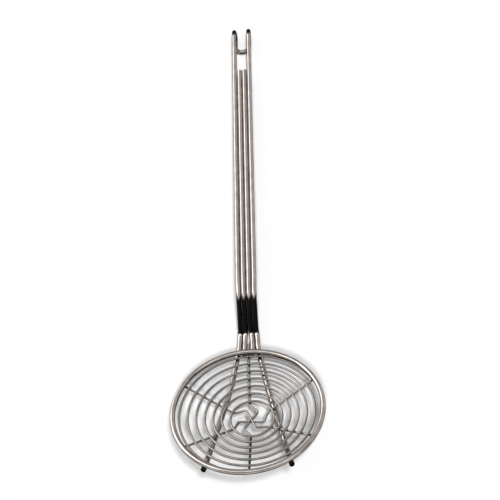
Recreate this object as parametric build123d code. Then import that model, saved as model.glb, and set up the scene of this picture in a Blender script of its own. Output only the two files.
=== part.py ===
from build123d import *
import os
from math import asin, atan2, cos, degrees, hypot, radians, sin, sqrt, tan

# Spider skimmer: a welded wire strainer with a long handle. All sizes in mm and degrees.
# It is drawn in the rim's own frame (rim centre at the origin, rim level, handle toward +Y)
# and then laid on a table the way it comes to rest.

os.makedirs("parts", exist_ok=True)

# Wire stock and welds
frame_wire = 5.2        # rim, frame wire and the two inner handle wires
mesh_wire = 2.3         # rings and cross wires of the dish
weld_gap = 0.1          # clearance left at every weld
frame_sides = 8         # flats of the heavy wire's section, whose corners lie on the round wire
mesh_sides = 6          # flats of the thin wire's section
circle_runs = 72        # short straight runs that stand for the full circle of a ring or the rim
shortest_run = 0.2      # straight left between two bends that follow each other

# Bowl
bowl_diameter = 150.0   # over the rim
ring_count = 7
inner_ring_radius = 21.2
ring_inset = 2.9        # from the rim's centre line in to the outer ring's
dish_slope = 12.9       # of the cone that the rings lie on
mesh_shift = 3.0        # the rings are welded in this far to the right of the rim's centre

# Cross wires, bent into a pinwheel where they cross
far_angles = {"cross_wire_long": 90.0, "cross_wire_left": 150.0, "cross_wire_right": 30.0}
near_angles = {"cross_wire_long": -90.0, "cross_wire_left": -27.4, "cross_wire_right": -150.0}
cross_stack = {"cross_wire_long": 0, "cross_wire_left": 1, "cross_wire_right": -1}
near_inset = 2.4        # the near arms stop this far inside the rim's centre line
pinwheel_shift = 1.5    # the crossing lies this far to the right of the rim's centre
pinwheel_run = 19.0     # from the crossing to where a wire leaves its spoke
pinwheel_elbow = 12.1   # from the crossing to the elbow
elbow_angle = 36.0      # of the elbow, clockwise from its spoke
pinwheel_bend = 6.0     # bend radius where a wire leaves its spoke
elbow_bend = 2.9        # bend radius of the elbow
tail_length = 13.5      # of the long cross wire, beyond the rim and between the handle wires

# Legs: the frame wire's two ends, splayed out under the dish
leg_drop_run = 42.0     # from the neck to where a leg has come down under the dish
leg_low_spread = 18.6   # from the middle to the leg there
leg_turn_inset = 22.74  # from the rim's centre line in to where a leg turns up to the rim
leg_turn_angle = 43.2   # round the rim's centre to that place, from the right or the left
foot_overhang = 2.43    # from the rim's centre line out to the leg's end
foot_angle = 56.78      # round to that end
leg_lean = 1.1          # both legs are set this far to the left under the dish
leg_bend = 60.0         # bend radius of the legs' long curves
foot_clearance = 0.3    # more room between the outer ring and the sloping legs under it

# Neck: the handle wires pass under the rim level, then climb
neck_overhang = 11.6    # from the rim's centre line to where the legs drop away
neck_length = 10.0      # from there to where the climb starts
neck_bend = 20.0        # bend radius at both
climb_angle = 32.0
climb_height = 27.0     # of the climb, up to the straight handle
handle_bend = 60.0      # bend radius at the top of the climb
squeeze_reach = 8.0     # from the start of the climb to where the wires are squeezed together
release_reach = 14.0    # from the top of the climb to where they part again

# Handle
handle_gap = 0.4        # between neighbouring handle wires
handle_rise = 12.5      # of the straight handle against the rim's plane
handle_length = 370.3   # from the top of the climb to the tip
inner_wire_end = 66.3   # the inner wires stop this far short of the tip

# Hanging hook: the frame wire folds under at the tip and comes back as a loop
hook_spread = 8.67      # from the middle to the wire at the tip
hook_drop = 9.8         # from the handle's wires down to the loop's
hook_inset = 0.5        # the loop is this much narrower on each side
hook_length = 27.3      # from the tip back to the loop's end

rim_radius = (bowl_diameter - frame_wire) / 2
outer_ring_radius = rim_radius - ring_inset
ring_pitch = (outer_ring_radius - inner_ring_radius) / (ring_count - 1)
slope = tan(radians(dish_slope))
outer_ring_level = -(frame_wire + mesh_wire) / 2 - weld_gap
cross_drop = (mesh_wire + weld_gap) / cos(radians(dish_slope))
leg_drop = ((mesh_wire + frame_wire) / 2 + weld_gap) / cos(radians(dish_slope))
neck_level = -frame_wire - weld_gap
neck_start = rim_radius + neck_overhang
neck_end = neck_start + neck_length


def ring_level(radius):
    """Height of the rings' cone at this distance from the rings' centre."""
    return outer_ring_level - (outer_ring_radius - radius) * slope


def cross_level(x, y):
    """Height of a cross wire that lies against the undersides of the rings."""
    return ring_level(hypot(x - mesh_shift, y)) - cross_drop


def polar(distance, angle):
    return distance * cos(radians(angle)), distance * sin(radians(angle))


def draw_wire(path, diameter, sides, transition=Transition.TRANSFORMED):
    """A wire along a path, with a corner of its section on top."""
    plane = Plane(origin=path @ 0, x_dir=(0, 0, 1), z_dir=path % 0)
    return sweep(plane * RegularPolygon(diameter / 2, sides), path=path, transition=transition)


def bend_wire(points, radii, diameter, sides):
    """A wire along straight runs joined by bends."""
    return draw_wire(FilletPolyline(*points, radius=radii), diameter, sides)


def close_wire(radius, diameter, sides):
    """A wire bent to a closed circle; it starts halfway along one of the circle's runs."""
    turn = 360 / circle_runs
    start = polar(radius * cos(radians(turn / 2)), turn / 2)
    corners = [polar(radius, turn * (run + 1)) for run in range(circle_runs)]
    return draw_wire(Polyline(start, *corners, start), diameter, sides, Transition.RIGHT)


# Rings
rings = []
for index in range(ring_count):
    radius = inner_ring_radius + index * ring_pitch
    ring = close_wire(radius, mesh_wire, mesh_sides)
    rings.append(Pos(mesh_shift, 0, ring_level(radius)) * ring)

rim = close_wire(rim_radius, frame_wire, frame_sides)


# Cross wires
def spoke_length(angle, reach):
    """Length of a spoke that ends this far from the rim's centre."""
    along = pinwheel_shift * cos(radians(angle))
    across = pinwheel_shift * sin(radians(angle))
    return sqrt(reach**2 - across**2) - along


def spoke_point(distance, angle):
    """Point of a spoke, against the undersides of the rings."""
    x, y = polar(distance, angle)
    x += pinwheel_shift
    return x, y, cross_level(x, y)


def arm(angle, reach, level):
    """Half of a cross wire, from its outer end in to its elbow."""
    x, y = polar(pinwheel_elbow, angle - elbow_angle)
    elbow = (x + pinwheel_shift, y, level)
    end = spoke_point(spoke_length(angle, reach), angle)
    return [end, spoke_point(pinwheel_run, angle), elbow]


crossing_level = cross_level(pinwheel_shift, pinwheel_run)
cross_wires = {}
for name, angle in far_angles.items():
    level = crossing_level + cross_stack[name] * (mesh_wire + weld_gap)
    points = arm(angle, rim_radius, level) + arm(near_angles[name], rim_radius - near_inset, level)[::-1]
    radii = [pinwheel_bend, elbow_bend, elbow_bend, pinwheel_bend]
    if name == "cross_wire_long":
        # its far end climbs on past the rim and levels out between the inner handle wires
        tail_level = neck_level + (frame_wire - mesh_wire) / 2
        tail_radius = outer_ring_radius + (tail_level + cross_drop - outer_ring_level) / slope
        tail_start = sqrt(tail_radius**2 - mesh_shift**2)
        points[0:2] = [
            (0, rim_radius + tail_length, tail_level),
            (0, tail_start, tail_level),
            (0, pinwheel_run, cross_level(0, pinwheel_run)),
        ]
        radii = [neck_bend] + radii
    cross_wires[name] = bend_wire(points, radii, mesh_wire, mesh_sides)


# Side view of the handle: (distance from the rim's centre, height) of each bend
climb_reach = climb_height / tan(radians(climb_angle))
squeeze = (neck_end + squeeze_reach, neck_level + squeeze_reach * tan(radians(climb_angle)))
climb_top = (neck_end + climb_reach, neck_level + climb_height)


def along_handle(distance, below=0.0):
    """Side-view point this far from the top of the climb, and this far under the handle's wires."""
    rise = radians(handle_rise)
    y = climb_top[0] + distance * cos(rise) + below * sin(rise)
    z = climb_top[1] + distance * sin(rise) - below * cos(rise)
    return y, z


# The inner wires pass the long cross wire on both sides at the neck
neck_inner = (mesh_wire + frame_wire) / 2 + weld_gap
neck_outer = neck_inner + frame_wire + weld_gap
tight_pitch = frame_wire + weld_gap
handle_pitch = frame_wire + handle_gap


def upper_run(neck_spread, place):
    """Bends shared by all handle wires; place is 0.5 for an inner wire and 1.5 for an outer one."""
    return [
        (neck_spread, neck_end, neck_level),
        (place * tight_pitch, *squeeze),
        (place * tight_pitch, *climb_top),
        (place * handle_pitch, *along_handle(release_reach)),
    ]


def mirrored(points):
    return [(-x, y, z) for x, y, z in points]


# Inner handle wires, from just outside the outer ring to short of the hook
inner_start = outer_ring_radius + mesh_wire / 2 + weld_gap
inner_points = [(neck_inner, inner_start, neck_level)]
inner_points += upper_run(neck_inner, 0.5)
inner_points += [(0.5 * handle_pitch, *along_handle(handle_length - inner_wire_end))]
inner_radii = [neck_bend, neck_bend, handle_bend, handle_bend]
handle_wire_right = bend_wire(inner_points, inner_radii, frame_wire, frame_sides)
handle_wire_left = bend_wire(mirrored(inner_points), inner_radii, frame_wire, frame_sides)


# Legs: the undersides of the cross wires set their depth where the two meet
leg_low_reach = neck_start - leg_drop_run
leg_turn_spread, leg_turn_reach = polar(rim_radius - leg_turn_inset, leg_turn_angle)
foot_spread, foot_reach = polar(rim_radius + foot_overhang, foot_angle)


def meeting(angle):
    """Where the right leg passes under the arm at this angle: distance toward the handle, and depth."""
    spread = (leg_turn_spread - leg_low_spread) / (leg_low_reach + leg_turn_reach)
    rise = tan(radians(angle))
    start = leg_low_spread - leg_lean
    x = (start + spread * (leg_low_reach + pinwheel_shift * rise)) / (1 + spread * rise)
    y = (x - pinwheel_shift) * rise
    return y, cross_level(x, y) - leg_drop


far_meeting = meeting(far_angles["cross_wire_right"])
near_meeting = meeting(near_angles["cross_wire_left"])
leg_grade = (far_meeting[1] - near_meeting[1]) / (far_meeting[0] - near_meeting[0])
leg_low_level = far_meeting[1] + leg_grade * (leg_low_reach - far_meeting[0])
leg_turn_level = far_meeting[1] - leg_grade * (leg_turn_reach + far_meeting[0])

# the leg's last run comes up to touch the outer ring from below
turn_distance = hypot(leg_turn_spread - leg_lean - mesh_shift, leg_turn_reach)
foot_distance = hypot(foot_spread - mesh_shift, foot_reach)
ring_touch = outer_ring_level - leg_drop - foot_clearance
foot_grade = (ring_touch - leg_turn_level) / (outer_ring_radius - turn_distance)
foot_level = ring_touch + foot_grade * (foot_distance - outer_ring_radius)


def leg(side):
    """Points of one leg from its foot to the neck; side is 1 on the right and -1 on the left."""
    return [
        (side * foot_spread, -foot_reach, foot_level),
        (side * leg_turn_spread - leg_lean, -leg_turn_reach, leg_turn_level),
        (side * leg_low_spread - leg_lean, leg_low_reach, leg_low_level),
        (side * neck_outer, neck_start, neck_level),
    ]


# Frame wire: one leg, up the handle, round the hook, down the handle and out along the other leg
hook_points = [
    (hook_spread, *along_handle(handle_length)),
    (hook_spread - hook_inset, *along_handle(handle_length, hook_drop)),
    (hook_spread - hook_inset, *along_handle(handle_length - hook_length, hook_drop)),
]
fold_bend = (hook_drop - shortest_run) / 2
loop_bend = hook_spread - hook_inset - shortest_run / 2
right_points = upper_run(neck_outer, 1.5) + hook_points
side_radii = [leg_bend, leg_bend, neck_bend]
side_radii += [neck_bend, neck_bend, handle_bend, handle_bend]
side_radii += [fold_bend, fold_bend, loop_bend]
frame_points = leg(1) + right_points + mirrored(right_points)[::-1] + leg(-1)[::-1]
frame = bend_wire(frame_points, side_radii + side_radii[::-1], frame_wire, frame_sides)

# At rest it leans on the legs' long curves and on the hook's fold, so the table is the line
# that touches both circles from below in the side view.
def bend_centre(before, corner, after, radius):
    """Centre of the bend at a corner."""
    into = (Vector(corner) - Vector(before)).normalized()
    out = (Vector(after) - Vector(corner)).normalized()
    half_turn = radians(into.get_angle(out)) / 2
    return Vector(corner) + (out - into).normalized() * (radius / cos(half_turn))


leg_centre = bend_centre(*leg(1)[1:4], leg_bend)
fold_y, fold_z = along_handle(handle_length - fold_bend, hook_drop / 2)
centres_apart = hypot(fold_y - leg_centre.Y, fold_z - leg_centre.Z)
centres_rise = atan2(fold_z - leg_centre.Z, fold_y - leg_centre.Y)
table_rise = degrees(centres_rise - asin((fold_bend - leg_bend) / centres_apart))

parts = {"rim": rim, "frame_wire": frame}
parts |= {"handle_wire_left": handle_wire_left, "handle_wire_right": handle_wire_right}
parts |= cross_wires
parts |= {f"ring_{index + 1}": ring for index, ring in enumerate(rings)}

laid = {name: Rot(-table_rise, 0, 0) * part for name, part in parts.items()}
boxes = [part.bounding_box() for part in laid.values()]
front = min(box.min.Y for box in boxes)
back = max(box.max.Y for box in boxes)
table = min(box.min.Z for box in boxes)

for name, part in laid.items():
    standing = Pos(0, -(front + back) / 2, -table) * part
    export_step(standing, f"parts/{name}.step")

print(f"table tilt {table_rise:.3f}, shift {-(front + back) / 2:.3f}, {-table:.3f}")
print(f"size {back - front:.1f} long, {max(box.max.Z for box in boxes) - table:.1f} high")
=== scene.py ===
# %% [markdown]
# # Spider skimmer
# A welded wire skimmer: a heavy rim, seven thin rings under it, three thin cross wires, and a
# handle of four heavy wires laid side by side. Everything is wire, so the lesson is about making
# wire: one closed kind, one bent kind, and the bright plating that covers both. The solids that
# come with the frame have flat-sided sections; each is replaced here by a smooth round wire on
# the same centre line.

from math import atan2, ceil, cos, degrees, hypot, radians, sin, sqrt, tan

import bpy
import numpy as np
from mathutils import Matrix, Vector


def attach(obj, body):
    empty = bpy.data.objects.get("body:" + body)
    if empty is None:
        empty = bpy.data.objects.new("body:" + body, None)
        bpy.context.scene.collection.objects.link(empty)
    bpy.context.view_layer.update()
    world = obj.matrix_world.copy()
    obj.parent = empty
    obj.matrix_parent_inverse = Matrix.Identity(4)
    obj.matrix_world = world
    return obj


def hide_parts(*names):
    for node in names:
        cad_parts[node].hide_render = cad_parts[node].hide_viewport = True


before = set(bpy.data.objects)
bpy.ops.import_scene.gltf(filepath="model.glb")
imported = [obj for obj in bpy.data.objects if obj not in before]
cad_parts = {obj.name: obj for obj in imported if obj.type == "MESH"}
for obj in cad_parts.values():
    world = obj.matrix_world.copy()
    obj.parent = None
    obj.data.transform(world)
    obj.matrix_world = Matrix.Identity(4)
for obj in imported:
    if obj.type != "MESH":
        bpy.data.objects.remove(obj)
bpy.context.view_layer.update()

# %% [markdown]
# ## Where the rim lies
# The skimmer rests on its two legs and its folded hook, so the rim leans toward the handle. The
# rim's own solid tells how much: its points lie symmetrically round one centre, and the direction
# in which they spread least is the rim's axis. Every wire is drawn in millimetres with the rim
# level and its centre at the origin, and one matrix lays it on the table at its real size.

# %% The rim's centre and lean
MM = 0.001
rim_points = np.array([vertex.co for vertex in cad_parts["rim"].data.vertices])
rim_centre = (rim_points.min(0) + rim_points.max(0)) / 2
least_spread = np.linalg.svd(rim_points - rim_centre, full_matrices=False)[2][2]
rim_axis = Vector(least_spread) * (1 if least_spread[2] > 0 else -1)
lean = -atan2(rim_axis.y, rim_axis.z)
lay = Matrix.Translation(rim_centre) @ Matrix.Rotation(lean, 4, "X")
to_table = lay @ Matrix.Scale(MM, 4)
print("rim centre mm", [round(x / MM, 2) for x in rim_centre], "lean", round(degrees(lean), 2))

# %% [markdown]
# ## Sizes
# The same driving sizes as in the solids, in millimetres. Two wires make the whole thing: a heavy
# one of 5.2 mm and a thin one of 2.3 mm. The rings lie on a shallow cone under the rim, and the
# cone's centre is a little to the right of the rim's.

# %% Wire stock and bowl
frame_wire = 5.2
mesh_wire = 2.3
weld_gap = 0.1
rim_width = 150.0
rim_radius = (rim_width - frame_wire) / 2
ring_count = 7
inner_ring_radius = 21.2
outer_ring_inset = 2.9
outer_ring_radius = rim_radius - outer_ring_inset
ring_pitch = (outer_ring_radius - inner_ring_radius) / (ring_count - 1)
ring_radii = [inner_ring_radius + index * ring_pitch for index in range(ring_count)]
mesh_shift = 3.0
cone_angle = radians(12.9)
slope = tan(cone_angle)
outer_ring_level = -(frame_wire + mesh_wire) / 2 - weld_gap
cross_drop = (mesh_wire + weld_gap) / cos(cone_angle)
leg_drop = ((mesh_wire + frame_wire) / 2 + weld_gap) / cos(cone_angle)
neck_level = -frame_wire - weld_gap


def ring_level(radius):
    """Height of the rings' cone at this distance from the rings' centre."""
    return outer_ring_level - (outer_ring_radius - radius) * slope


def cross_level(x, y):
    """Height of a cross wire that lies against the undersides of the rings."""
    return ring_level(hypot(x - mesh_shift, y)) - cross_drop


def polar(distance, angle):
    """The x and y of a point at this distance, at this angle in degrees."""
    return distance * cos(radians(angle)), distance * sin(radians(angle))


print("ring pitch mm", round(ring_pitch, 2))
print("inner ring's level mm", round(ring_level(inner_ring_radius), 2))

# %% [markdown]
# ## Starting and finishing a mesh
# Every wire is made in edit mode, in a mesh of its own that starts empty. When it is finished,
# points that lie on one another are merged, the faces are turned outwards, and the mesh is laid
# on the table, so that the object itself stays at the origin, unturned and unscaled.

# %% Start and finish
pieces = {}
same_place = 0.001
smooth_angle = radians(35)


def start_mesh(name):
    """An empty mesh object at the origin, in edit mode, as the only selected one."""
    bpy.ops.object.select_all(action="DESELECT")
    bpy.ops.object.add(type="MESH", location=(0, 0, 0))
    piece = bpy.context.active_object
    piece.name = name
    bpy.ops.object.mode_set(mode="EDIT")
    bpy.ops.mesh.select_mode(type="VERT")
    return piece


def lay_down(piece):
    """Closes the mesh, leaves edit mode, lays the piece on the table and smooths its faces."""
    bpy.ops.mesh.select_all(action="SELECT")
    bpy.ops.mesh.remove_doubles(threshold=same_place)
    bpy.ops.mesh.normals_make_consistent(inside=False)
    bpy.ops.object.mode_set(mode="OBJECT")
    piece.data.transform(to_table)
    piece.data.update()
    bpy.ops.object.shade_smooth_by_angle(angle=smooth_angle)
    pieces[piece.name] = piece
    print(piece.name, "faces", len(piece.data.polygons))


# %% [markdown]
# ## Closed wires
# The rim and the rings are wire bent to a circle and butt-welded end to end. A torus is that
# shape, so each starts as one. What a plain torus lacks is the joint: the ends are upset against
# each other and ground, and the wire stays a little fuller there. So the points nearest to the
# joint are pushed out along their normals, and their neighbours follow with a soft falloff.

# %% A closed wire
circle_steps = 160
circle_sides = 16
# The butt weld's half length, fullness and falloff, as shares of the wire's diameter, and the
# slack in radians that lets it find the nearest points. The slack is under half a step of the
# circle, so a joint that falls well between points, as on the outer ring, doesn't show.
joint_reach = 0.2
joint_fullness = 0.02
joint_falloff = 0.8
joint_slack = 0.01


def close_wire(name, radius, diameter, level, shift, weld_at):
    """A round wire bent to a circle, with its butt weld at this angle in degrees."""
    piece = start_mesh(name)
    bpy.ops.mesh.primitive_torus_add(
        location=(shift, 0, level),
        major_radius=radius,
        minor_radius=diameter / 2,
        major_segments=circle_steps,
        minor_segments=circle_sides,
    )
    bpy.ops.mesh.select_all(action="DESELECT")
    bpy.ops.object.mode_set(mode="OBJECT")
    joint = Vector((*polar(1, weld_at), 0))
    for vertex in piece.data.vertices:
        spoke = Vector((vertex.co.x - shift, vertex.co.y, 0)).normalized()
        vertex.select = spoke.angle(joint) < diameter * joint_reach / radius + joint_slack
    bpy.ops.object.mode_set(mode="EDIT")
    bpy.ops.transform.shrink_fatten(
        value=diameter * joint_fullness,
        use_proportional_edit=True,
        proportional_edit_falloff="SMOOTH",
        proportional_size=diameter * joint_falloff,
    )
    lay_down(piece)


# %% The rim and the rings
rim_joint = 150
first_ring_joint = 70
next_ring_joint = 47
close_wire("round_rim", rim_radius, frame_wire, level=0, shift=0, weld_at=rim_joint)
for index, radius in enumerate(ring_radii):
    ring_joint = first_ring_joint + next_ring_joint * index
    ring_name = f"round_ring_{index + 1}"
    close_wire(ring_name, radius, mesh_wire, ring_level(radius), mesh_shift, ring_joint)

# %% [markdown]
# ## Bent wires
# A wire bender works in two moves: it feeds the wire straight, then swings it round a pin. Edit
# mode has both: extrude with a translation is the feed, and spin is the swing. So a wire starts
# as one ring of points as wide as the wire, and the two moves alternate along the route. The
# section stays square to the wire at every point, which a plain skin of the route's corners
# would not give. The cut ends get a small bevel, as a shear and a tumbling drum leave them.

# %% Where each bend starts and ends


def bends(points, radii):
    """For each corner: where its bend starts and ends, the pin's place, its axis and the turn."""
    found = []
    for before, corner, after, radius in zip(points, points[1:], points[2:], radii):
        into = (corner - before).normalized()
        out = (after - corner).normalized()
        turn = into.angle(out)
        reach = radius * tan(turn / 2)
        pin = corner + (out - into).normalized() * (radius / cos(turn / 2))
        start = corner - into * reach
        end = corner + out * reach
        found.append((start, end, pin, into.cross(out).normalized(), turn))
    return found


square_corner = [Vector((0, 0, 0)), Vector((10, 0, 0)), Vector((10, 10, 0))]
print("a square corner's pin", bends(square_corner, [5])[0][2])

# %% The bending helper
thin_sides = 16
heavy_sides = 24
bend_step = 5
# An end's bevel: how far it goes in and how far it stands out, as shares of the diameter.
bevel_inset = 0.12
bevel_depth = 0.06


def close_end(diameter):
    """Fills the selected loop and bevels its edge."""
    bpy.ops.mesh.edge_face_add()
    bpy.ops.mesh.inset(thickness=diameter * bevel_inset, depth=diameter * bevel_depth)


def bend_wire(name, points, radii, diameter, sides):
    """A round wire fed straight between the corners and swung round a pin at each."""
    piece = start_mesh(name)
    points = [Vector(point) for point in points]
    trim = diameter * bevel_depth
    heading = (points[1] - points[0]).normalized()
    here = points[0] + heading * trim
    bpy.ops.mesh.primitive_circle_add(
        vertices=sides,
        radius=diameter / 2,
        location=here,
        rotation=heading.to_track_quat("Z", "Y").to_euler(),
        fill_type="NOTHING",
    )
    length = 0
    for start, end, pin, axis, turn in bends(points, radii):
        bpy.ops.mesh.extrude_region_move(TRANSFORM_OT_translate={"value": start - here})
        steps = max(2, ceil(degrees(turn) / bend_step))
        bpy.ops.mesh.spin(steps=steps, angle=-turn, center=pin, axis=axis)
        length += (start - here).length + turn * (pin - start).length
        here = end
    last = points[-1] - (points[-1] - points[-2]).normalized() * trim
    bpy.ops.mesh.extrude_region_move(TRANSFORM_OT_translate={"value": last - here})
    close_end(diameter)
    bpy.ops.mesh.select_all(action="DESELECT")
    bpy.ops.mesh.select_non_manifold(extend=False)
    close_end(diameter)
    lay_down(piece)
    print(name, "length mm", round(length + (last - here).length))


print("steps in a square corner", ceil(90 / bend_step))

# %% [markdown]
# ## Cross wires
# Three thin wires carry the rings from below. Where they cross they would pile up, so each is
# bent aside into an elbow before the middle, which makes the little pinwheel, and in the middle
# they pass one another at three levels. The long one goes on past the rim and ends between the
# handle's inner wires.

# %% The pinwheel
far_angles = {"long": 90.0, "left": 150.0, "right": 30.0}
near_angles = {"long": -90.0, "left": -27.4, "right": -150.0}
cross_stack = {"long": 0, "left": 1, "right": -1}
near_inset = 2.4
pinwheel_shift = 1.5
pinwheel_run = 19.0
pinwheel_elbow = 12.1
elbow_angle = 36.0
run_bend = 6.0
elbow_bend = 2.9
crossing_level = cross_level(pinwheel_shift, pinwheel_run)
print("crossing level mm", round(crossing_level, 2))


def spoke_length(angle, reach, centre=0.0):
    """Length of a spoke that ends this far from a centre at this x, by default the rim's."""
    along, across = polar(pinwheel_shift - centre, angle)
    return sqrt(reach**2 - across**2) - along


def spoke_point(distance, angle):
    """Point of a spoke, against the undersides of the rings."""
    x, y = polar(distance, angle)
    x += pinwheel_shift
    return x, y, cross_level(x, y)


def arm(angle, reach, level):
    """Half of a cross wire, from its outer end in to its elbow."""
    x, y = polar(pinwheel_elbow, angle - elbow_angle)
    end = spoke_point(spoke_length(angle, reach), angle)
    return [end, spoke_point(pinwheel_run, angle), (x + pinwheel_shift, y, level)]


# %% The three cross wires
tail_length = 13.5
neck_bend = 20.0
tail_level = neck_level + (frame_wire - mesh_wire) / 2
tail_radius = outer_ring_radius + (tail_level + cross_drop - outer_ring_level) / slope
tail = [
    (0, rim_radius + tail_length, tail_level),
    (0, sqrt(tail_radius**2 - mesh_shift**2), tail_level),
    (0, pinwheel_run, cross_level(0, pinwheel_run)),
]
for side, far_angle in far_angles.items():
    elbow_level = crossing_level + cross_stack[side] * (mesh_wire + weld_gap)
    far_arm = arm(far_angle, rim_radius, elbow_level)
    near_arm = arm(near_angles[side], rim_radius - near_inset, elbow_level)
    cross_points = far_arm + near_arm[::-1]
    cross_radii = [run_bend, elbow_bend, elbow_bend, run_bend]
    if side == "long":
        cross_points[0:2] = tail
        cross_radii = [neck_bend] + cross_radii
    bend_wire(f"round_cross_wire_{side}", cross_points, cross_radii, mesh_wire, thin_sides)

# %% [markdown]
# ## Handle wires
# Four heavy wires lie side by side. They pass under the rim, climb, and run straight on. The two
# inner ones stop short of the tip; the two outer ones are one and the same wire, which makes the
# legs under the dish at one end and the folded hanging hook at the other. A wire's place is its
# distance from the middle in wires, so 0.5 for an inner one and 1.5 for an outer one.

# %% The handle's side view
neck_start = rim_radius + 11.6
neck_end = neck_start + 10.0
climb = radians(32.0)
climb_height = 27.0
handle_bend = 60.0
handle_gap = 0.4
handle_rise = radians(12.5)
handle_length = 370.3
squeeze_reach = 8.0
release_reach = 14.0
inner_place = 0.5
outer_place = 1.5
neck_inner = (mesh_wire + frame_wire) / 2 + weld_gap
neck_outer = neck_inner + frame_wire + weld_gap
tight_pitch = frame_wire + weld_gap
handle_pitch = frame_wire + handle_gap
climb_top = (neck_end + climb_height / tan(climb), neck_level + climb_height)
print("top of the climb mm", [round(x, 1) for x in climb_top])


def along_handle(distance, below=0.0):
    """Side-view point this far from the top of the climb, and this far under the handle."""
    y = climb_top[0] + distance * cos(handle_rise) + below * sin(handle_rise)
    z = climb_top[1] + distance * sin(handle_rise) - below * cos(handle_rise)
    return y, z


def upper_run(neck_spread, place):
    """Corners that all handle wires share, from the neck to the start of the straight."""
    return [
        (neck_spread, neck_end, neck_level),
        (place * tight_pitch, neck_end + squeeze_reach, neck_level + squeeze_reach * tan(climb)),
        (place * tight_pitch, *climb_top),
        (place * handle_pitch, *along_handle(release_reach)),
    ]


def mirrored(points):
    """The same points on the other side of the handle."""
    return [(-x, y, z) for x, y, z in points]


# %% The inner wires
inner_start = outer_ring_radius + mesh_wire / 2 + weld_gap
inner_setback = 66.3
inner_points = [(neck_inner, inner_start, neck_level)] + upper_run(neck_inner, inner_place)
inner_points += [(inner_place * handle_pitch, *along_handle(handle_length - inner_setback))]
inner_radii = [neck_bend, neck_bend, handle_bend, handle_bend]
bend_wire("round_handle_wire_right", inner_points, inner_radii, frame_wire, heavy_sides)
bend_wire("round_handle_wire_left", mirrored(inner_points), inner_radii, frame_wire, heavy_sides)

# %% [markdown]
# ## Frame wire
# The legs dive under the dish until they touch the cross wires from below, run along under them
# and come up again to the rim, past which they end as two feet. At the tip the same wire folds
# under itself and comes back as a loop: that is the hanging hook.

# %% The legs' places
leg_low_setback = 42.0
leg_low_reach = neck_start - leg_low_setback
leg_low_spread = 18.6
leg_turn_inset = 22.74
leg_turn_angle = 43.2
leg_turn_spread, leg_turn_reach = polar(rim_radius - leg_turn_inset, leg_turn_angle)
foot_overhang = 2.43
foot_angle = 56.78
foot_spread, foot_reach = polar(rim_radius + foot_overhang, foot_angle)
leg_lean = 1.1
foot_clearance = 0.3


def meeting(angle):
    """Where the right leg passes under the arm at this angle: distance toward the handle, depth."""
    widening = (leg_turn_spread - leg_low_spread) / (leg_low_reach + leg_turn_reach)
    rise = tan(radians(angle))
    start = leg_low_spread - leg_lean
    x = (start + widening * (leg_low_reach + pinwheel_shift * rise)) / (1 + widening * rise)
    y = (x - pinwheel_shift) * rise
    return y, cross_level(x, y) - leg_drop


# %% [markdown]
# The legs' levels follow from what they touch. Under the dish they lie on a line through the two
# places where the right leg meets a cross wire, and from there to the feet they clear the
# outer ring.

# %% The legs' levels
far_meeting = meeting(far_angles["right"])
near_meeting = meeting(near_angles["left"])
leg_grade = (far_meeting[1] - near_meeting[1]) / (far_meeting[0] - near_meeting[0])
leg_low_level = far_meeting[1] + leg_grade * (leg_low_reach - far_meeting[0])
leg_turn_level = far_meeting[1] - leg_grade * (leg_turn_reach + far_meeting[0])
turn_distance = hypot(leg_turn_spread - leg_lean - mesh_shift, leg_turn_reach)
foot_distance = hypot(foot_spread - mesh_shift, foot_reach)
ring_touch = outer_ring_level - leg_drop - foot_clearance
foot_grade = (ring_touch - leg_turn_level) / (outer_ring_radius - turn_distance)
foot_level = ring_touch + foot_grade * (foot_distance - outer_ring_radius)
print("leg levels mm", [round(x, 2) for x in (leg_low_level, leg_turn_level, foot_level)])


def leg(side):
    """Points of one leg from its foot to the neck; side is 1 on the right and -1 on the left."""
    return [
        (side * foot_spread, -foot_reach, foot_level),
        (side * leg_turn_spread - leg_lean, -leg_turn_reach, leg_turn_level),
        (side * leg_low_spread - leg_lean, leg_low_reach, leg_low_level),
        (side * neck_outer, neck_start, neck_level),
    ]


# %% The hook and the whole frame wire
leg_bend = 60.0
hook_spread = 8.67
hook_drop = 9.8
hook_inset = 0.5
hook_length = 27.3
shortest_run = 0.2
hook_points = [
    (hook_spread, *along_handle(handle_length)),
    (hook_spread - hook_inset, *along_handle(handle_length, hook_drop)),
    (hook_spread - hook_inset, *along_handle(handle_length - hook_length, hook_drop)),
]
fold_bend = (hook_drop - shortest_run) / 2
loop_bend = hook_spread - hook_inset - shortest_run / 2
right_points = upper_run(neck_outer, outer_place) + hook_points
side_radii = [leg_bend, leg_bend, neck_bend, neck_bend, neck_bend, handle_bend, handle_bend]
side_radii += [fold_bend, fold_bend, loop_bend]
frame_points = leg(1) + right_points + mirrored(right_points)[::-1] + leg(-1)[::-1]
frame_radii = side_radii + side_radii[::-1]
bend_wire("round_frame_wire", frame_points, frame_radii, frame_wire, heavy_sides)

# %% [markdown]
# ## Welds
# Two crossing wires are pressed together and a current melts them where they touch. The melt
# fills the corner round the contact, so every crossing has a small squashed nugget between the
# wires. It is modelled as a flattened ball, and becomes part of one of the two wires.

# %% A weld nugget
mesh_nugget = {"width": mesh_wire * 0.9, "height": mesh_wire * 0.55}
print("mesh nugget mm", [round(size, 2) for size in mesh_nugget.values()])


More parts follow.
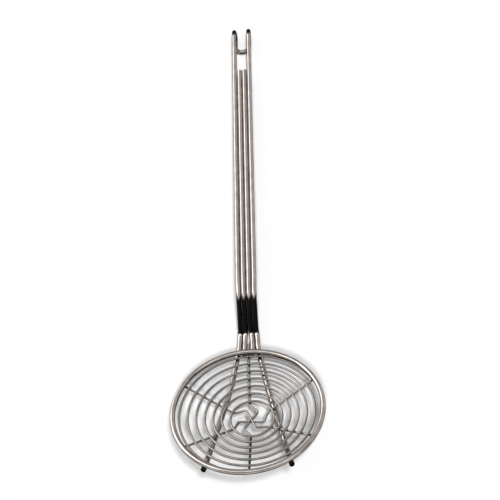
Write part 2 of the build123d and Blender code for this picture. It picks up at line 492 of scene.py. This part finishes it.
def add_welds(piece, places, width, height):
    """Adds a flattened ball at each place in the rim's frame, in mm, to a finished piece."""
    bpy.ops.object.select_all(action="DESELECT")
    bpy.context.view_layer.objects.active = piece
    piece.select_set(True)
    to_rim = to_table.inverted()
    piece.data.transform(to_rim)
    bpy.ops.object.mode_set(mode="EDIT")
    for place in places:
        bpy.ops.mesh.primitive_uv_sphere_add(
            segments=14, ring_count=8, radius=0.5, location=place, scale=(width, width, height)
        )
    bpy.ops.object.mode_set(mode="OBJECT")
    piece.data.transform(to_rim.inverted())
    bpy.ops.object.shade_smooth_by_angle(angle=smooth_angle)
    print(piece.name, "welds", len(places))


# %% Welds under the rings


def ring_crossings(angle):
    """Where the rings touch the arm at this angle."""
    found = []
    for radius in ring_radii:
        x, y = polar(spoke_length(angle, radius, mesh_shift), angle)
        found.append((x + pinwheel_shift, y, ring_level(radius) - cross_drop / 2))
    return found


for side, far_angle in far_angles.items():
    crossings = ring_crossings(far_angle) + ring_crossings(near_angles[side])
    add_welds(pieces[f"round_cross_wire_{side}"], crossings, **mesh_nugget)

# %% [markdown]
# The rim rests on the four wires of the neck and is welded to each, and the right leg is welded
# to the two cross wires that lie on it.

# %% Heavy welds
rim_nugget = {"width": frame_wire * 0.55, "height": frame_wire * 0.3}
rim_welds = []
for spread in (-neck_outer, -neck_inner, neck_inner, neck_outer):
    rim_welds.append((spread, sqrt(rim_radius**2 - spread**2), neck_level / 2))
add_welds(pieces["round_rim"], rim_welds, **rim_nugget)

leg_nugget = {"width": mesh_wire, "height": mesh_wire * 0.55}
leg_welds = []
for arm_angle in (far_angles["right"], near_angles["left"]):
    y, level = meeting(arm_angle)
    x = pinwheel_shift + y / tan(radians(arm_angle))
    leg_welds.append((x, y, level + leg_drop * frame_wire / (frame_wire + mesh_wire)))
add_welds(pieces["round_frame_wire"], leg_welds, **leg_nugget)

# %% [markdown]
# ## Colours and nodes
# A colour is written as a hex value, as in a paint program, and the renderer works in linear
# light, so one function turns the first into the second. A material is a tree of nodes. One small
# function adds a node, and gives each of its sockets a value or a link.

# %% Colours and a node helper


def colour(code):
    """A linear colour from an sRGB hex value."""
    values = [int(code[start : start + 2], 16) / 255 for start in (1, 3, 5)]
    return [v / 12.92 if v <= 0.04045 else ((v + 0.055) / 1.055) ** 2.4 for v in values] + [1]


def add_node(tree, kind, sockets=None, **settings):
    """A node with these settings; each socket gets a link from another socket, or a value."""
    node = tree.nodes.new(kind)
    for setting, value in settings.items():
        setattr(node, setting, value)
    for socket, value in (sockets or {}).items():
        if isinstance(value, bpy.types.NodeSocket):
            tree.links.new(value, node.inputs[socket])
        else:
            node.inputs[socket].default_value = value
    return node


print("linear middle grey", [round(x, 3) for x in colour("#808080")])

# %% [markdown]
# ## Bright nickel plate
# The wire is mild steel, drawn through a die and then barrel-plated with bright nickel. That
# gives the eye three things: a mirror with a faint warm tint, fine lines along the wire where the
# die has scored it, and cloudy patches where the plating grew a little duller. A metal's colour
# is its reflection, so the base colour is the tint, and the roughness does the rest.
#
# The die's real scores are some hundredths of a millimetre apart, too fine to show, so they are
# drawn about half a millimetre apart. The clouds are about 9 mm across.

# %% Lines and clouds
cloud_size = 9.0
score_depth = 0.02
score_strength = 0.25


def drawn_lines(tree, place, spacing, stretch):
    """The die's lines, from 0 to 1: this far apart in mm, and drawn out along the wire."""
    drawn = add_node(tree, "ShaderNodeMapping", {"Vector": place, "Scale": stretch}).outputs[0]
    sockets = {"Vector": drawn, "Scale": 1 / (spacing * MM), "Detail": 4.0}
    return add_node(tree, "ShaderNodeTexNoise", sockets).outputs[0]


def plate_roughness(tree, lines, clouds):
    """Roughness of the plating: more in the clouds, and there more in the lines."""
    mixed = add_node(tree, "ShaderNodeMath", {0: lines, 1: clouds}, operation="MULTIPLY")
    return add_node(
        tree,
        "ShaderNodeMapRange",
        {
            "Value": mixed.outputs[0],
            "From Min": 0.12,
            "From Max": 0.45,
            "To Min": 0.05,
            "To Max": 0.16,
        },
    ).outputs[0]


print("score depth mm", score_depth)

# %% [markdown]
# ## Bright tops and painted shade on the flanks
# The tint is scaled by how far the surface faces up, plus some cloud. This is painted shade: it
# keeps only the top of each wire bright and darkens its flanks and underside, a little unevenly.

# %% The plate's tint
# How the painted shade on the flanks follows the surface's facing and the cloud.
cloud_limits = (0.35, 0.65)
cloud_in_painted_shade = 0.3
fully_shaded_facing = 0.3
fully_lit_facing = 0.88
darkest_painted_share = 0.1


def plate_tint(tree, clouds, shades):
    """The metal's tint: from the first shade to the second in clouds, with painted shade on the
    flanks.
    """
    cloudy = add_node(tree, "ShaderNodeValToRGB", {"Fac": clouds})
    for stop, position, shade in zip(cloudy.color_ramp.elements, cloud_limits, shades):
        stop.position = position
        stop.color = colour(shade)
    normal = add_node(tree, "ShaderNodeNewGeometry").outputs["Normal"]
    upward = add_node(tree, "ShaderNodeSeparateXYZ", {"Vector": normal}).outputs[2]
    facing_and_cloud = add_node(
        tree,
        "ShaderNodeMath",
        {0: clouds, 1: cloud_in_painted_shade, 2: upward},
        operation="MULTIPLY_ADD",
    ).outputs[0]
    # Painted shade: the tint is darkened where the surface faces sideways or down.
    painted_shade_scale = add_node(
        tree,
        "ShaderNodeMapRange",
        {"Value": facing_and_cloud, "From Min": fully_shaded_facing, "From Max": fully_lit_facing, "To Min": darkest_painted_share},
        interpolation_type="SMOOTHSTEP",
    ).outputs[0]
    return add_node(
        tree,
        "ShaderNodeVectorMath",
        {"Vector": cloudy.outputs["Color"], "Scale": painted_shade_scale},
        operation="SCALE",
    ).outputs[0]


print("least share of the tint", darkest_painted_share)

# %% [markdown]
# ## Black enamel dip
# Round the neck, on the feet and on the hook's folds, where the polished wire would mirror a dark
# room, that dark reflection is painted on: there the same material turns black, matt and
# non-metallic. The painted patch is placed in the rim's frame, which a Mapping node reaches from
# the piece's own coordinates: its texture kind first takes the rim's centre off, then turns back,
# and then makes millimetres. As a reflection fades out over a bend, the neck's upper edge runs up
# at the sides of each wire and stays low on its crest.

# %% Where the dark reflection is painted
# For each edge, the distance toward the handle at which the wire is clear, and at which it is
# fully painted dark, in millimetres from the rim's centre.
neck_near_edge = (97.8, 98.6)
neck_far_edge = (138.5, 132.5)
feet_edge = (-58.0, -59.0)
folds_edge = (488.6, 491.4)
crest_shift = 2.2
ragged_width = 1.6
ragged_per_mm = 0.7


def dark_reflection_mask(tree, place):
    """1 where the wire's dark reflection is painted on: round the neck, on the feet and the two
    folds.
    """
    in_rim = add_node(
        tree,
        "ShaderNodeMapping",
        {"Vector": place, "Location": rim_centre, "Rotation": (lean, 0, 0), "Scale": (MM, MM, MM)},
        vector_type="TEXTURE",
    ).outputs[0]
    across, along, _ = add_node(tree, "ShaderNodeSeparateXYZ", {"Vector": in_rim}).outputs
    ragged = add_node(
        tree, "ShaderNodeTexNoise", {"Vector": in_rim, "Scale": ragged_per_mm, "Detail": 2.0}
    ).outputs[0]
    crest = add_node(
        tree, "ShaderNodeMath", {0: across, 1: tight_pitch / 2}, operation="PINGPONG"
    ).outputs[0]
    past_crest = add_node(
        tree, "ShaderNodeMath", {0: crest, 1: crest_shift, 2: along}, operation="MULTIPLY_ADD"
    ).outputs[0]

    def painted_dark(distance, clear, full):
        """1 where this distance has passed the value full, with a ragged edge."""
        wavy = add_node(
            tree,
            "ShaderNodeMath",
            {0: ragged, 1: ragged_width, 2: distance},
            operation="MULTIPLY_ADD",
        ).outputs[0]
        sockets = {"Value": wavy, "From Min": clear, "From Max": full}
        return add_node(tree, "ShaderNodeMapRange", sockets).outputs[0]

    begun = painted_dark(along, *neck_near_edge)
    not_past = painted_dark(past_crest, *neck_far_edge)
    total = add_node(tree, "ShaderNodeMath", {0: begun, 1: not_past}, operation="MULTIPLY")
    for edge in (feet_edge, folds_edge):
        end = painted_dark(along, *edge)
        total = add_node(tree, "ShaderNodeMath", {0: total.outputs[0], 1: end}, operation="ADD")
    return total.outputs[0]


print("black at the neck mm", round(neck_far_edge[1] - neck_near_edge[1], 1))

# %% [markdown]
# Where the dark reflection is painted, the tint falls almost to black, the metal stops being one,
# and the surface turns rougher. All three follow the same number, so that the edge of the painted
# patch is one edge.

# %% Under the painted dark reflection
painted_reflection_shade = 0.004
painted_reflection_roughness = 0.3


def paint_dark_reflection(tree, painted_dark, tint, roughness):
    """Tint, metallic and roughness: of plate where the mask is 0, and painted black as a dark
    reflection where it is 1.
    """
    unpainted = add_node(tree, "ShaderNodeMath", {0: 1.0, 1: painted_dark}, operation="SUBTRACT").outputs[0]
    sockets = {"Value": unpainted, "To Min": painted_reflection_shade}
    seen = add_node(tree, "ShaderNodeMapRange", sockets).outputs[0]
    sockets = {"Vector": tint, "Scale": seen}
    darkened_tint = add_node(tree, "ShaderNodeVectorMath", sockets, operation="SCALE").outputs[0]
    sockets = {0: painted_dark, 1: painted_reflection_roughness, 2: roughness}
    matt = add_node(tree, "ShaderNodeMath", sockets, operation="MULTIPLY_ADD").outputs[0]
    return darkened_tint, unpainted, matt


print("painted dark reflection is rougher by", painted_reflection_roughness)

# %% [markdown]
# ## The finished plating
# The parts come together in one principled material. Its specular tint is the metal's colour at a
# glancing angle, a little darker than a mirror's. The heavy wires' lines are drawn out along the
# handle, the way that most of their length runs. The thin wires turn every way, so theirs are
# left even, and their shades are a little darker.

# %% The plating
glancing_tint = "#A8A4A0"
specular_level = 0.1


def nickel_plate(name, spacing, stretch, shades, with_dark_reflection=False):
    """Bright nickel on drawn wire, with or without the painted dark reflection."""
    material = bpy.data.materials.new(name)
    material.use_nodes = True
    tree = material.node_tree
    tree.nodes.clear()
    place = add_node(tree, "ShaderNodeTexCoord").outputs["Object"]
    lines = drawn_lines(tree, place, spacing, stretch)
    sockets = {"Vector": place, "Scale": 1 / (cloud_size * MM), "Detail": 3.0}
    clouds = add_node(tree, "ShaderNodeTexNoise", sockets).outputs[0]
    sockets = {"Height": lines, "Strength": score_strength, "Distance": score_depth * MM}
    relief = add_node(tree, "ShaderNodeBump", sockets).outputs[0]
    tint, metallic = plate_tint(tree, clouds, shades), 1.0
    roughness = plate_roughness(tree, lines, clouds)
    if with_dark_reflection:
        # Painted dark reflection: the wire is painted black round the neck, on the feet and on the
        # folds.
        painted_dark = dark_reflection_mask(tree, place)
        tint, metallic, roughness = paint_dark_reflection(tree, painted_dark, tint, roughness)
    metal = add_node(
        tree,
        "ShaderNodeBsdfPrincipled",
        {
            "Base Color": tint,
            "Metallic": metallic,
            "Roughness": roughness,
            "Normal": relief,
            "Specular Tint": colour(glancing_tint),
            "Specular IOR Level": specular_level,
        },
    )
    add_node(tree, "ShaderNodeOutputMaterial", {"Surface": metal.outputs[0]})
    print(material.name, "nodes", len(tree.nodes))
    return material


heavy_shades = ("#A8A09B", "#B8B1AC")
thin_shades = ("#8E8884", "#9F9994")
heavy_spacing = 0.5
thin_spacing = 0.6
along_handle_lines = (1.0, 0.04, 1.0)
even_lines = (1.0, 1.0, 1.0)
heavy_plate = nickel_plate("bright_nickel_heavy", heavy_spacing, along_handle_lines, heavy_shades)
# The frame and handle wires carry the painted dark reflection; the rim and thin wires do not.
plate_with_painted_reflection = nickel_plate(
    "bright_nickel_with_black_dip", heavy_spacing, along_handle_lines, heavy_shades, with_dark_reflection=True
)
thin_plate = nickel_plate("bright_nickel_thin", thin_spacing, even_lines, thin_shades)

# %% [markdown]
# ## Putting the wires in place of the solids
# Each round wire stands for the solid of the same name and rides on the one rigid body.

# %% Dressing the frame
finishes = {"rim": heavy_plate, "frame": plate_with_painted_reflection, "handle": plate_with_painted_reflection}
for piece in pieces.values():
    piece.data.materials.append(finishes.get(piece.name.split("_")[1], thin_plate))
    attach(piece, "root")
    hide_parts(piece.name.removeprefix("round_"))
print("pieces", len(pieces))

# %% [markdown]
# ## Floor
# A plain white card, wide enough to fill the picture, that shows the wires' soft shadows through
# the open dish. Its fibres are a little over a millimetre apart.

# %% The floor
card_width = 12
fibres_per_metre = 900.0
fibre_height = 0.0001
bpy.ops.object.select_all(action="DESELECT")
bpy.ops.mesh.primitive_plane_add(size=card_width, location=(0, 0, 0))
floor = bpy.context.active_object
floor.name = "white_card"
card = bpy.data.materials.new("matt_card")
card.use_nodes = True
card_tree = card.node_tree
card_tree.nodes.clear()
card_place = add_node(card_tree, "ShaderNodeTexCoord").outputs["Object"]
fibre = add_node(
    card_tree, "ShaderNodeTexNoise", {"Vector": card_place, "Scale": fibres_per_metre}
).outputs[0]
tooth = add_node(
    card_tree, "ShaderNodeBump", {"Height": fibre, "Strength": 0.1, "Distance": fibre_height}
).outputs[0]
card_face = add_node(
    card_tree,
    "ShaderNodeBsdfPrincipled",
    {"Base Color": colour("#FAFAFA"), "Roughness": 0.9, "Normal": tooth},
)
add_node(card_tree, "ShaderNodeOutputMaterial", {"Surface": card_face.outputs[0]})
floor.data.materials.append(card)
print(floor.name, "width m", card_width)

# %% [markdown]
# ## Studio
# Polished wire shows its surroundings, so the room matters as much as the lamps. Each board in it
# is a range of directions, found by asking where the camera's ray goes after it meets the wire:
# a bright panel on the left makes the white line down the left third of each handle wire, a grey
# ceiling behind makes the rest of the wire grey, and a strip overhead makes the white line on
# the near and far parts of the rim. The camera's side stays dark apart from a dim wall and a low
# board, which keep the wires grey when they are seen from behind.
#
# A board is a product of soft edges. Each edge is a Map Range node that goes from 0 to the
# board's brightness, and the next edge goes from 0 to what the one before gives.

# %% The room's directions
world = bpy.data.worlds.new("studio")
bpy.context.scene.world = world
world.use_nodes = True
room = world.node_tree
room.nodes.clear()
direction = add_node(room, "ShaderNodeTexCoord").outputs["Generated"]
x_part, y_part, z_part = add_node(room, "ShaderNodeSeparateXYZ", {"Vector": direction}).outputs
print("world", world.name)

# %% The boards
# A board's brightness, then its edges: the part of the direction that is measured, the value at
# which the board is dark, and the value at which it is full.
boards = {
    "front_wall": (0.28, (y_part, -0.48, -0.62)),
    "front_board": (0.8, (y_part, -0.2, -0.4), (z_part, 0.54, 0.42)),
    "ceiling": (0.66, (y_part, -0.1, 0.0), (y_part, 0.93, 0.84)),
    "overhead_strip": (1.9, (y_part, -0.4, -0.3), (y_part, 0.1, 0.0), (z_part, 0.6, 0.8)),
    "left_panel": (2.4, (x_part, -0.3, -0.46), (y_part, -0.1, 0.05)),
}
dark_room = 0.06
reflected = dark_room
for brightness, *edges in boards.values():
    glow = brightness
    for part, dark, full in edges:
        glow = add_node(
            room,
            "ShaderNodeMapRange",
            {"Value": part, "From Min": dark, "From Max": full, "To Max": glow},
            interpolation_type="SMOOTHSTEP",
        ).outputs[0]
    sockets = {0: reflected, 1: glow}
    reflected = add_node(room, "ShaderNodeMath", sockets, operation="ADD").outputs[0]
print("boards", list(boards))

# %% [markdown]
# Near the horizon the room is white, as the floor is, so the two meet without a line. The boards
# are for reflections only. For the matt floor the room is one even dim level, and two soft lamps
# do the rest, together as bright as makes white paper white. Two lamps from different sides give
# the crossing shadows that lie inside the dish.

# %% The horizon and the even light
horizon_white = 1.0
horizon_top = 0.16
horizon_full = 0.1
even_light = 0.16
near_horizon = add_node(
    room,
    "ShaderNodeMapRange",
    {"Value": z_part, "From Min": horizon_top, "From Max": horizon_full},
    interpolation_type="SMOOTHSTEP",
).outputs[0]
sockets = {"Factor": near_horizon, "A": reflected, "B": horizon_white}
seen = add_node(room, "ShaderNodeMix", sockets).outputs[0]
is_diffuse = add_node(room, "ShaderNodeLightPath").outputs["Is Diffuse Ray"]
sockets = {"Factor": is_diffuse, "A": seen, "B": even_light}
room_light = add_node(room, "ShaderNodeMix", sockets).outputs[0]
sky = add_node(room, "ShaderNodeBackground", {"Color": (1, 1, 1, 1), "Strength": room_light})
add_node(room, "ShaderNodeOutputWorld", {"Surface": sky.outputs[0]})
print("room nodes", len(room.nodes))

# %% The lamps
# Each lamp: its name, how its beam leans in x and y, its strength, and its width in degrees.
for lamp_name, leaning, energy, softness in (
    ("near_lamp", (-0.04, 0.78), 1.4, 9),
    ("top_lamp", (-0.2, 0.28), 1.72, 10),
):
    beam = Vector((*leaning, -1))
    bpy.ops.object.light_add(type="SUN", rotation=beam.to_track_quat("-Z", "Y").to_euler())
    lamp = bpy.context.active_object
    lamp.name = lamp_name
    lamp.data.energy = energy
    lamp.data.angle = radians(softness)
    lamp.visible_glossy = False
    print(lamp.name, "strength", energy)

# %% [markdown]
# ## Camera
# The place, aim and turn come from the rim, the rings and the handle in the photograph: it looks
# down at the dish from the near side, a little from the right. Place and aim are in the rim's
# frame, in millimetres, and the turn is round the line of sight.

# %% The camera
camera_from = (109.0, -690.3, 859.2)
camera_to = (0.9, 219.8, 0)
camera_turn = radians(-9.23)
camera_place = lay @ (Vector(camera_from) * MM)
camera_aim = lay @ (Vector(camera_to) * MM)
bpy.ops.object.camera_add(location=camera_place)
camera = bpy.context.active_object
rim_up = lay.to_3x3() @ Vector((0, 0, 1))
forward = (camera_aim - camera_place).normalized()
right = forward.cross(rim_up).normalized()
up = right.cross(forward)
turned = Matrix((right, up, -forward)).transposed() @ Matrix.Rotation(camera_turn, 3, "Z")
camera.matrix_world = Matrix.LocRotScale(camera_place, turned.to_quaternion(), (1, 1, 1))
camera.data.sensor_width = 36.0
camera.data.lens = 82.86
bpy.context.scene.camera = camera
bpy.context.scene.view_settings.view_transform = "Standard"
print("camera place m", [round(x, 3) for x in camera_place])
